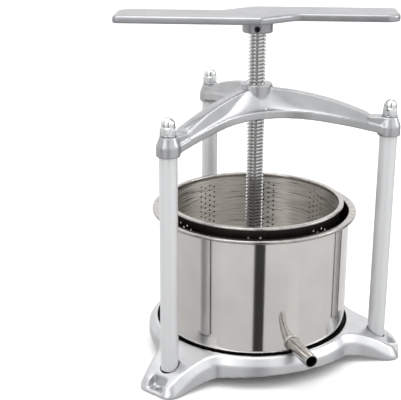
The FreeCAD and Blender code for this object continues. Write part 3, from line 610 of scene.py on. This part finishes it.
# ---------------------------------------------------------------- handle
# The handle is a second lacquered casting, a flat S with a hub under it that holds the top of
# the screw. A black grub screw through the hub bites into the groove.
HUB_LOW = 381.3
HUB_GRUB_UP = 5.4
handle = cast_copy("handle_finished", "handle_casting", 1.1, 10)
# The handle's lacquer is painted darker than the beam's and the base's, for the lesser light on it.
handle_lacquer = silver_lacquer("silver_lacquer_on_handle", "#96979a", "#a3a4a7")
fit(handle, SCREW_BODY, "painted_casting", handle_lacquer, "handle_casting")
handle_grub = socket_screw("handle_grub_screw_finished", GRUB_RADIUS, 8.0, 15.4, GRUB_KEY, GRUB_SOCKET_DEPTH)
handle_grub.data.transform(sideways(HANDLE_TURN - 90, HUB_LOW + HUB_GRUB_UP))
fit(handle_grub, SCREW_BODY, "black_steel", black_oxide, "handle_grub_screw")

# ---------------------------------------------------------------- bucket and spout
# The juice bucket is drawn from stainless sheet and polished, with its lip rolled outwards. It
# stands in the base's recess. A spout of stainless tube is welded in just above its floor.
BUCKET_BODY = "bucket"
BUCKET_OUTSIDE, BUCKET_INSIDE, LIP_RADIUS = 112, 111, 120
BUCKET_LOW, BUCKET_FLOOR, LIP_LOW, BUCKET_TOP = 33.5, 34.5, 172.3, 176.3
SPOUT_HEIGHT = 49.0
SPOUT_TURN = 271.0
SPOUT_BORE, SPOUT_NECK, SPOUT_RADIUS, SPOUT_TIP = 6.3, 7.2, 7.5, 161

# Polished stainless: a mirror with a warm tone, very slightly drawn out up and down by the
# polishing belt, whose lines are 0.6 mm apart.
polished_stainless, tree, shader, place = finish_material("polished_stainless", Metallic=1.0)
tree.links.new(tint(tree, grain(tree, place, 40, 2), "#dcd9d6", "#e4e1de"), shader.inputs["Base Color"])
tree.links.new(between(tree, grain(tree, place, 0.6, 2, (1, 1, 60)), 0.05, 0.10), shader.inputs["Roughness"])

bucket = turned("bucket_finished", [
    (0, BUCKET_FLOOR), (BUCKET_INSIDE, BUCKET_FLOOR, 3.0), (BUCKET_INSIDE, BUCKET_TOP, 2.4),
    (LIP_RADIUS, BUCKET_TOP, 1.6), (LIP_RADIUS, LIP_LOW, 1.6), (BUCKET_OUTSIDE, LIP_LOW, 1.4),
    (BUCKET_OUTSIDE, BUCKET_LOW, 3.0), (0, BUCKET_LOW)], 192)
way = turned("spout_way", [(0, 108), (SPOUT_NECK, 108), (SPOUT_NECK, 114), (0, 114)],
             48, sideways(SPOUT_TURN, SPOUT_HEIGHT))
cutting = bucket.modifiers.new("spout_way", "BOOLEAN")
cutting.operation = "DIFFERENCE"
cutting.solver = "EXACT"
cutting.object = way
baked(bucket)
bpy.data.objects.remove(way)
smooth(bucket)
fit(bucket, BUCKET_BODY, "polished_stainless", polished_stainless, "bucket_shell")

# Painted shade: stainless with a dull dark skin, on the walls that face each other across the
# juice gap, where shade falls.
gap_shade_stainless, tree, shader, place = finish_material("mill_finish_stainless", Metallic=1.0, Roughness=0.45)
gap_shade_colour = tint(tree, grain(tree, place, 2, 3, (1, 1, 8)), "#353331", "#45423f")
tree.links.new(gap_shade_colour, shader.inputs["Base Color"])


def refinish(piece, material, picked):
    """Give another finish to the faces that picked(radius, height, upright) chooses, in millimetres."""
    piece.data.materials.append(material)
    for face in piece.data.polygons:
        middle = face.center / MM
        if picked(math.hypot(middle.x, middle.y), middle.z, abs(face.normal.z) < 0.5):
            face.material_index = len(piece.data.materials) - 1


# The bucket's inner wall, where it faces the basket, is painted dark as shade.
refinish(bucket, gap_shade_stainless, lambda r, z, upright: 109 < r < 111.4 and z < 174 and upright)

# Drawn stainless: level lines 0.35 mm apart, along the spout and round the lip and the basket's
# rim, draw the highlights out.
drawn_stainless, tree, shader, place = finish_material("drawn_stainless_tube", Metallic=1.0, Roughness=0.2)
tree.links.new(tint(tree, grain(tree, place, 8, 2), "#a5a29f", "#b9b6b3"), shader.inputs["Base Color"])
lift(tree, shader, grain(tree, place, 0.35, 1, (30, 30, 1)), 0.01)
spout = turned("spout_finished", [
    (SPOUT_BORE, 109, 0.2), (SPOUT_NECK, 109, 0.2), (SPOUT_NECK, 115), (SPOUT_RADIUS, 115, 0.1),
    (SPOUT_RADIUS, SPOUT_TIP, 0.4), (SPOUT_BORE, SPOUT_TIP, 0.4)], 64, sideways(SPOUT_TURN, SPOUT_HEIGHT))
fit(spout, BUCKET_BODY, "polished_stainless", drawn_stainless, "spout_tube")
refinish(bucket, drawn_stainless, lambda r, z, upright: r > 110.9 and z > 172)
weld = turned("spout_weld_finished", [
    (SPOUT_NECK, 111.2), (9.5, 111.2, 0.4), (9.3, 113.2, 0.9), (SPOUT_NECK, 114, 0.4)],
    64, sideways(SPOUT_TURN, SPOUT_HEIGHT))
fit(weld, BUCKET_BODY, "polished_stainless", drawn_stainless, "spout_collar")

# ---------------------------------------------------------------- press basket
# The basket is rolled from thin stainless sheet, punched with eight bands of staggered drain
# holes, with a rolled rim. Its floor is a disc with a raised bead, set in above the foot edge.
BASKET_BODY = "basket"
BASKET_OUTSIDE, BASKET_INSIDE = 100.0, 99.2
BASKET_LOW, BASKET_TOP = 34.8, 185.7
DISC_LOW, DISC_HIGH = 39, 40
RIM_RADIUS, RIM_LOW, RIM_SKIRT = 105.1, 182.1, 181.0

# Brushed stainless: lines run round the wall, so each light fans out up and down it. The real
# lines are 0.1 mm apart, too fine to show, so they are drawn 1.1 mm apart.
UP_THE_WALL = "up_the_wall"
brushed_stainless, tree, shader, place = finish_material(
    "brushed_stainless_sheet", Metallic=1.0, Anisotropic=0.8)
lines = grain(tree, place, 1.1, 4, (30, 30, 1))
tree.links.new(tint(tree, lines, "#b3b0ac", "#e8e5e0"), shader.inputs["Base Color"])
tree.links.new(between(tree, lines, 0.22, 0.46), shader.inputs["Roughness"])
lift(tree, shader, grain(tree, place, 1.1, 3, (30, 30, 1)), 0.015)
fanned = add(tree, "ShaderNodeTangent", direction_type="UV_MAP", uv_map=UP_THE_WALL)
tree.links.new(fanned.outputs[0], shader.inputs["Tangent"])


def mapped(piece):
    """Give a round piece a map whose first direction runs up it, or outwards where it is flat."""
    layer = piece.data.uv_layers.new(name=UP_THE_WALL)
    for loop in piece.data.loops:
        x, y, z = piece.data.vertices[loop.vertex_index].co
        layer.data[loop.index].uv = (z + math.hypot(x, y), math.atan2(y, x))
    return piece


# The wall is laid out in 96 columns of tiles, 22 high. Each band of holes starts at the column
# given here, counted from the right side of the press, against the clock seen from above.
TILES, ROWS = 96, 22
CUTS = 4
HOLE_RADIUS = 1.3
TILE_WIDTH = 2 * math.pi * BASKET_OUTSIDE / TILES
TILE_HEIGHT = 6.6
BAND_STARTS = (3, 14, 26, 38, 51, 64, 77, 88)


def tile(name, holed=False, rows=CUTS):
    """A flat piece of sheet, cut in steps along each side, with or without a round hole."""
    height = TILE_HEIGHT * rows / CUTS
    shape = bmesh.new()
    if holed:
        along = [cut / CUTS - 0.5 for cut in range(CUTS)]
        half_edge = [(at, -0.5) for at in along] + [(0.5, at) for at in along]
        edge = half_edge + [(-x, -y) for x, y in half_edge]
        outer = [shape.verts.new((x * TILE_WIDTH * MM, y * height * MM, 0)) for x, y in edge]
        inner = [shape.verts.new(Vector((x, y, 0)).normalized() * HOLE_RADIUS * MM) for x, y in edge]
        for step in range(len(edge)):
            following = (step + 1) % len(edge)
            shape.faces.new((outer[step], outer[following], inner[following], inner[step]))
    else:
        across = [(x / CUTS - 0.5) * TILE_WIDTH * MM for x in range(CUTS + 1)]
        up = [(y / rows - 0.5) * height * MM for y in range(rows + 1)]
        lattice = [[shape.verts.new((x, y, 0)) for x in across] for y in up]
        for y in range(rows):
            for x in range(CUTS):
                shape.faces.new((lattice[y][x], lattice[y][x + 1], lattice[y + 1][x + 1], lattice[y + 1][x]))
    mesh = bpy.data.meshes.new(name)
    shape.to_mesh(mesh)
    shape.free()
    return link(name, mesh)


# Tiles of sheet in columns, every other column half a tile up, bent round the wall. Columns in
# a band get the tile with the hole, and a half tile fills each column's short end.
band_inputs = {"Band_%d" % band: "Float" for band in range(1, len(BAND_STARTS) + 1)}
wall_tree, given = new_tree("perforated_wall", Punched="Object", Plain="Object", Half="Object",
                            Tile_width="Float", Tile_height="Float", Low_row="Float", Columns="Int",
                            Rows="Int", Plain_rows_below="Int", Plain_rows_above="Int", Band_columns="Float",
                            Bend_radius="Float", Material="Material", **band_inputs)
number = add(wall_tree, "GeometryNodeInputIndex").outputs[0]
lattice = add(wall_tree, "GeometryNodeMeshGrid", {
    "Vertices X": given["Columns"], "Vertices Y": given["Rows"]})
columns_done = calc(wall_tree, "DIVIDE", calc(wall_tree, "ADD", number, 0.5), given["Rows"])
column = calc(wall_tree, "FLOOR", columns_done)
row = calc(wall_tree, "SUBTRACT", number, calc(wall_tree, "MULTIPLY", column, given["Rows"]))
raised = calc(wall_tree, "MULTIPLY", calc(wall_tree, "FLOORED_MODULO", column, 2.0), 0.5)
level = calc(wall_tree, "ADD", raised, row)
spot = add(wall_tree, "ShaderNodeCombineXYZ", {
    0: calc(wall_tree, "MULTIPLY", column, given["Tile width"]),
    1: calc(wall_tree, "MULTIPLY_ADD", level, given["Tile height"], given["Low row"])})
laid = add(wall_tree, "GeometryNodeSetPosition", {
    "Geometry": lattice.outputs[0], "Position": spot.outputs[0]})
reach = calc(wall_tree, "MULTIPLY", calc(wall_tree, "SUBTRACT", given["Band columns"], 1.0), 0.5)
in_band = 0.0
for words in band_inputs:
    middle = calc(wall_tree, "ADD", given[words.replace("_", " ")], reach)
    in_band = calc(wall_tree, "MAXIMUM", in_band,
                   calc(wall_tree, "COMPARE", column, middle, calc(wall_tree, "ADD", reach, 0.1)))
above = calc(wall_tree, "GREATER_THAN", row, calc(wall_tree, "SUBTRACT", given["Plain rows below"], 0.5))
last = calc(wall_tree, "SUBTRACT", calc(wall_tree, "SUBTRACT", given["Rows"], given["Plain rows above"]), 0.5)
below = calc(wall_tree, "LESS_THAN", row, last)
punched = calc(wall_tree, "MULTIPLY", in_band, calc(wall_tree, "MULTIPLY", above, below))
ends = add(wall_tree, "GeometryNodeMeshLine", {"Count": given["Columns"]})
even = calc(wall_tree, "SUBTRACT", 1.0, calc(wall_tree, "FLOORED_MODULO", number, 2.0))
end_row = calc(wall_tree, "MULTIPLY_ADD", even, given["Rows"], -0.25)
end_spot = add(wall_tree, "ShaderNodeCombineXYZ", {
    0: calc(wall_tree, "MULTIPLY", number, given["Tile width"]),
    1: calc(wall_tree, "MULTIPLY_ADD", end_row, given["Tile height"], given["Low row"])})
ends_laid = add(wall_tree, "GeometryNodeSetPosition", {
    "Geometry": ends.outputs[0], "Position": end_spot.outputs[0]})
flat = add(wall_tree, "GeometryNodeJoinGeometry")
unpunched = calc(wall_tree, "SUBTRACT", 1.0, punched)
for name, points, wanted in (
        ("Punched", laid, punched), ("Plain", laid, unpunched), ("Half", ends_laid, True)):
    source = add(wall_tree, "GeometryNodeObjectInfo", {"Object": given[name]})
    placed = add(wall_tree, "GeometryNodeInstanceOnPoints", {
        "Points": points.outputs[0], "Instance": source.outputs["Geometry"], "Selection": wanted})
    wall_tree.links.new(placed.outputs[0], flat.inputs[0])
sheet = add(wall_tree, "GeometryNodeRealizeInstances", {"Geometry": flat.outputs[0]})
on_sheet = add(wall_tree, "GeometryNodeInputPosition").outputs[0]
around, up = add(wall_tree, "ShaderNodeSeparateXYZ", {0: on_sheet}).outputs[:2]
bend = calc(wall_tree, "DIVIDE", around, given["Bend radius"])
bent_spot = add(wall_tree, "ShaderNodeCombineXYZ", {
    0: calc(wall_tree, "MULTIPLY", given["Bend radius"], calc(wall_tree, "COSINE", bend)),
    1: calc(wall_tree, "MULTIPLY", given["Bend radius"], calc(wall_tree, "SINE", bend)), 2: up})
bent = add(wall_tree, "GeometryNodeSetPosition", {
    "Geometry": sheet.outputs[0], "Position": bent_spot.outputs[0]})
seamed = add(wall_tree, "GeometryNodeMergeByDistance", {
    "Geometry": bent.outputs[0], "Distance": 0.02 * MM})
close_tree(wall_tree, seamed.outputs[0], given["Material"])

tiles = [tile("punched_tile", True), tile("plain_tile"), tile("half_tile", rows=CUTS // 2)]
band_values = {words: float(start) for words, start in zip(band_inputs, BAND_STARTS)}
wall = made_by(wall_tree, "basket_wall_finished", Punched=tiles[0], Plain=tiles[1], Half=tiles[2],
               Tile_width=TILE_WIDTH * MM, Tile_height=TILE_HEIGHT * MM,
               Low_row=(BASKET_LOW + TILE_HEIGHT / 2) * MM, Columns=TILES, Rows=ROWS, Plain_rows_below=2,
               Plain_rows_above=1, Band_columns=4.0, Bend_radius=BASKET_OUTSIDE * MM,
               Material=brushed_stainless, **band_values)
for piece in tiles:
    bpy.data.objects.remove(piece)
thicken = wall.modifiers.new("sheet", "SOLIDIFY")
thicken.thickness = (BASKET_OUTSIDE - BASKET_INSIDE) * MM
thicken.offset = -1
baked(wall)
smooth(mapped(wall))
fit(wall, BASKET_BODY, "brushed_stainless", brushed_stainless, "basket_wall")
# The basket's outer face, across the gap from the bucket, is painted dark as shade.
refinish(wall, gap_shade_stainless, lambda r, z, upright: r > 99.7 and upright)
rim = turned("basket_rim_finished", [
    (BASKET_INSIDE, RIM_SKIRT), (BASKET_OUTSIDE, RIM_SKIRT), (BASKET_OUTSIDE, RIM_LOW, 0.4),
    (RIM_RADIUS, RIM_LOW, 1.7), (RIM_RADIUS, BASKET_TOP, 1.7), (BASKET_INSIDE - 0.05, BASKET_TOP, 1.7)], 192)
fit(rim, BASKET_BODY, "polished_stainless", drawn_stainless)
disc = turned("basket_floor_finished", [
    (0, DISC_LOW), (86, DISC_LOW, 3), (88, 40.6, 3), (92, 40.6, 3), (94, DISC_LOW, 3),
    (BASKET_INSIDE, DISC_LOW), (BASKET_INSIDE, DISC_HIGH, 0.2), (94.3, DISC_HIGH, 3), (92.3, 41.6, 3),
    (87.7, 41.6, 3), (85.7, DISC_HIGH, 3), (0, DISC_HIGH)], 128)
fit(mapped(disc), BASKET_BODY, "brushed_stainless", brushed_stainless, "basket_floor")

# ---------------------------------------------------------------- press plate and swivel
# A stainless plate with an upturned rim presses the fruit. The screw's button turns in a socket
# on the plate, on a bronze pad, and a cap held by three zinc plated socket screws keeps it there.
PLUNGER_BODY = "plunger"
PLATE_LOW, PLATE_TOP, PLATE_RIM_TOP = 100, 103.0, 109
PLATE_RADIUS, PLATE_RIM_INSIDE = 96.5, 94.0
SWIVEL_RADIUS, SOCKET_TOP, PAD_HIGH = 22, 117, 106
BUTTON_WAY, NECK_WAY = 11.3, 7.3

# Turned bronze: a warm metal with fine level tool marks 0.4 mm apart.
turned_bronze, tree, shader, place = finish_material("turned_bronze", Metallic=1.0, Roughness=0.32)
tree.links.new(tint(tree, grain(tree, place, 5, 3), "#a97f4b", "#bf9660"), shader.inputs["Base Color"])
lift(tree, shader, grain(tree, place, 0.4, 1, (30, 30, 1)), 0.02)
plate = turned("press_plate_finished", [
    (0, PLATE_LOW), (PLATE_RADIUS, PLATE_LOW, 2.0), (PLATE_RADIUS, PLATE_RIM_TOP, 0.9),
    (PLATE_RIM_INSIDE, PLATE_RIM_TOP, 0.9), (PLATE_RIM_INSIDE, PLATE_TOP, 1.5), (0, PLATE_TOP)], 160)
fit(mapped(plate), PLUNGER_BODY, "brushed_stainless", brushed_stainless, "press_plate")
socket = turned("thrust_socket_finished", [
    (BUTTON_WAY, PLATE_TOP), (SWIVEL_RADIUS, PLATE_TOP, 0.3), (SWIVEL_RADIUS, SOCKET_TOP, 0.5),
    (BUTTON_WAY, SOCKET_TOP, 0.3)])
fit(socket, PLUNGER_BODY, "brushed_stainless", drawn_stainless, "thrust_socket")
pad = turned("thrust_pad_finished", [
    (0, PLATE_TOP), (BUTTON_RADIUS, PLATE_TOP, 0.4), (BUTTON_RADIUS, PAD_HIGH, 0.4), (0, PAD_HIGH)], 64)
fit(pad, PLUNGER_BODY, "bronze", turned_bronze, "thrust_pad")
cap = turned("swivel_cap_finished", [
    (NECK_WAY, SOCKET_TOP, 0.4), (SWIVEL_RADIUS, SOCKET_TOP, 0.5), (SWIVEL_RADIUS, CAP_TOP, 1.2),
    (NECK_WAY, CAP_TOP, 0.8)])
fit(cap, PLUNGER_BODY, "brushed_stainless", drawn_stainless, "swivel_cap")
cap_screw = socket_screw("cap_screw", 3.5, CAP_TOP, CAP_TOP + 4, 3.0, 2.0)
CAP_SCREW_CIRCLE = 16.8
cap_screws = ring_of("cap_screws_finished", cap_screw, CAP_SCREW_CIRCLE, zinc_plate)
fit(cap_screws, PLUNGER_BODY, "zinc_steel", zinc_plate, "cap_screws")

# ---------------------------------------------------------------- studio
# A plain pale floor and backdrop, a large soft light overhead and two from the sides. The
# surroundings that metal mirrors are pale too, with a few upright dark screens among them.
pale_floor, tree, shader, place = finish_material("pale_paper", Roughness=0.9)
tree.links.new(tint(tree, grain(tree, place, 3, 3), "#f6f6f6", "#fafafa"), shader.inputs["Base Color"])
FLOOR_REACH = 8.0
shape = bmesh.new()
bmesh.ops.create_grid(shape, x_segments=8, y_segments=8, size=FLOOR_REACH)
mesh = bpy.data.meshes.new("floor")
shape.to_mesh(mesh)
shape.free()
floor = link("floor", mesh)
mesh.materials.append(pale_floor)
floor.visible_glossy = False

world = bpy.data.worlds.new("studio")
bpy.context.scene.world = world
world.use_nodes = True
tree = world.node_tree
tree.nodes.clear()
outwards = add(tree, "ShaderNodeTexCoord").outputs["Generated"]
heading = add(tree, "ShaderNodeSeparateXYZ", {0: outwards}).outputs
turn = calc(tree, "ARCTAN2", heading[1], heading[0])
part = calc(tree, "MULTIPLY_ADD", turn, 0.5 / math.pi, 0.5)
screens = add(tree, "ShaderNodeValToRGB", {"Fac": part})
ramp = screens.color_ramp
# Each pair is a heading in degrees from the right side of the press and how bright it is there.
SCREENS = [(-180, 0.74), (-177.2, 0.72), (-176.8, 0.06), (-165.6, 0.06), (-164.6, 0.84), (-150, 0.94),
           (-120, 0.92), (-111.6, 0.92), (-110.8, 0.06), (-98.0, 0.06), (-97.2, 0.94), (-60, 0.96),
           (-20, 0.94), (4, 0.90), (5, 0.04), (22, 0.04), (24, 1.0), (40, 0.95), (100, 0.95),
           (130, 0.85), (170, 0.80)]
while len(ramp.elements) < len(SCREENS):
    ramp.elements.new(0.5)
for element, (heading_angle, brightness) in zip(ramp.elements, SCREENS):
    element.position = (heading_angle + 180) / 360
    element.color = (brightness, brightness * 0.997, brightness * 0.99, 1)
above = add(tree, "ShaderNodeMapRange", {"Value": heading[2], "From Min": -0.9, "From Max": 0.9,
                                         "To Min": 0.5, "To Max": 1.7})
lit = add(tree, "ShaderNodeBackground", {"Color": screens.outputs[0], "Strength": above.outputs[0]})
plain = add(tree, "ShaderNodeBackground", {"Color": (1, 1, 1, 1), "Strength": 1.0})
direct = add(tree, "ShaderNodeLightPath").outputs["Is Camera Ray"]
mixed = add(tree, "ShaderNodeMixShader", {0: direct, 1: lit.outputs[0], 2: plain.outputs[0]})
add(tree, "ShaderNodeOutputWorld", {"Surface": mixed.outputs[0]})


def softbox(name, place, aim, size, power):
    """A square area light at place, in metres, that faces aim."""
    light = bpy.data.lights.new(name, "AREA")
    light.size = size
    light.energy = power
    lamp = bpy.data.objects.new(name, light)
    bpy.context.collection.objects.link(lamp)
    lamp.location = place
    lamp.rotation_euler = (Vector(aim) - Vector(place)).to_track_quat("-Z", "Y").to_euler()


softbox("overhead_light", (-0.3, -0.2, 1.7), (0, 0, 0.2), 1.2, 11)
softbox("left_light", (-1.5, -0.9, 1.0), (0, 0, 0.2), 0.9, 4)
softbox("right_light", (1.5, -0.6, 0.9), (0, 0, 0.2), 0.7, 5)

# ---------------------------------------------------------------- camera
# Slightly above the press and to its left, far enough off for a flat, natural perspective.
camera = bpy.data.objects.new("camera", bpy.data.cameras.new("camera"))
bpy.context.collection.objects.link(camera)
camera.data.sensor_width = 36
camera.data.lens = 90.5
camera.location = (-0.4442, -1.0385, 0.5659)
HEADING, DOWNWARD, ROLL = -19.95, 18.77, 0.19
aim = Matrix.Rotation(math.radians(HEADING), 4, "Z") @ Matrix.Rotation(math.radians(90 - DOWNWARD), 4, "X")
camera.rotation_euler = (aim @ Matrix.Rotation(math.radians(ROLL), 4, "Z")).to_euler()
bpy.context.scene.camera = camera
bpy.context.scene.view_settings.view_transform = "Standard"
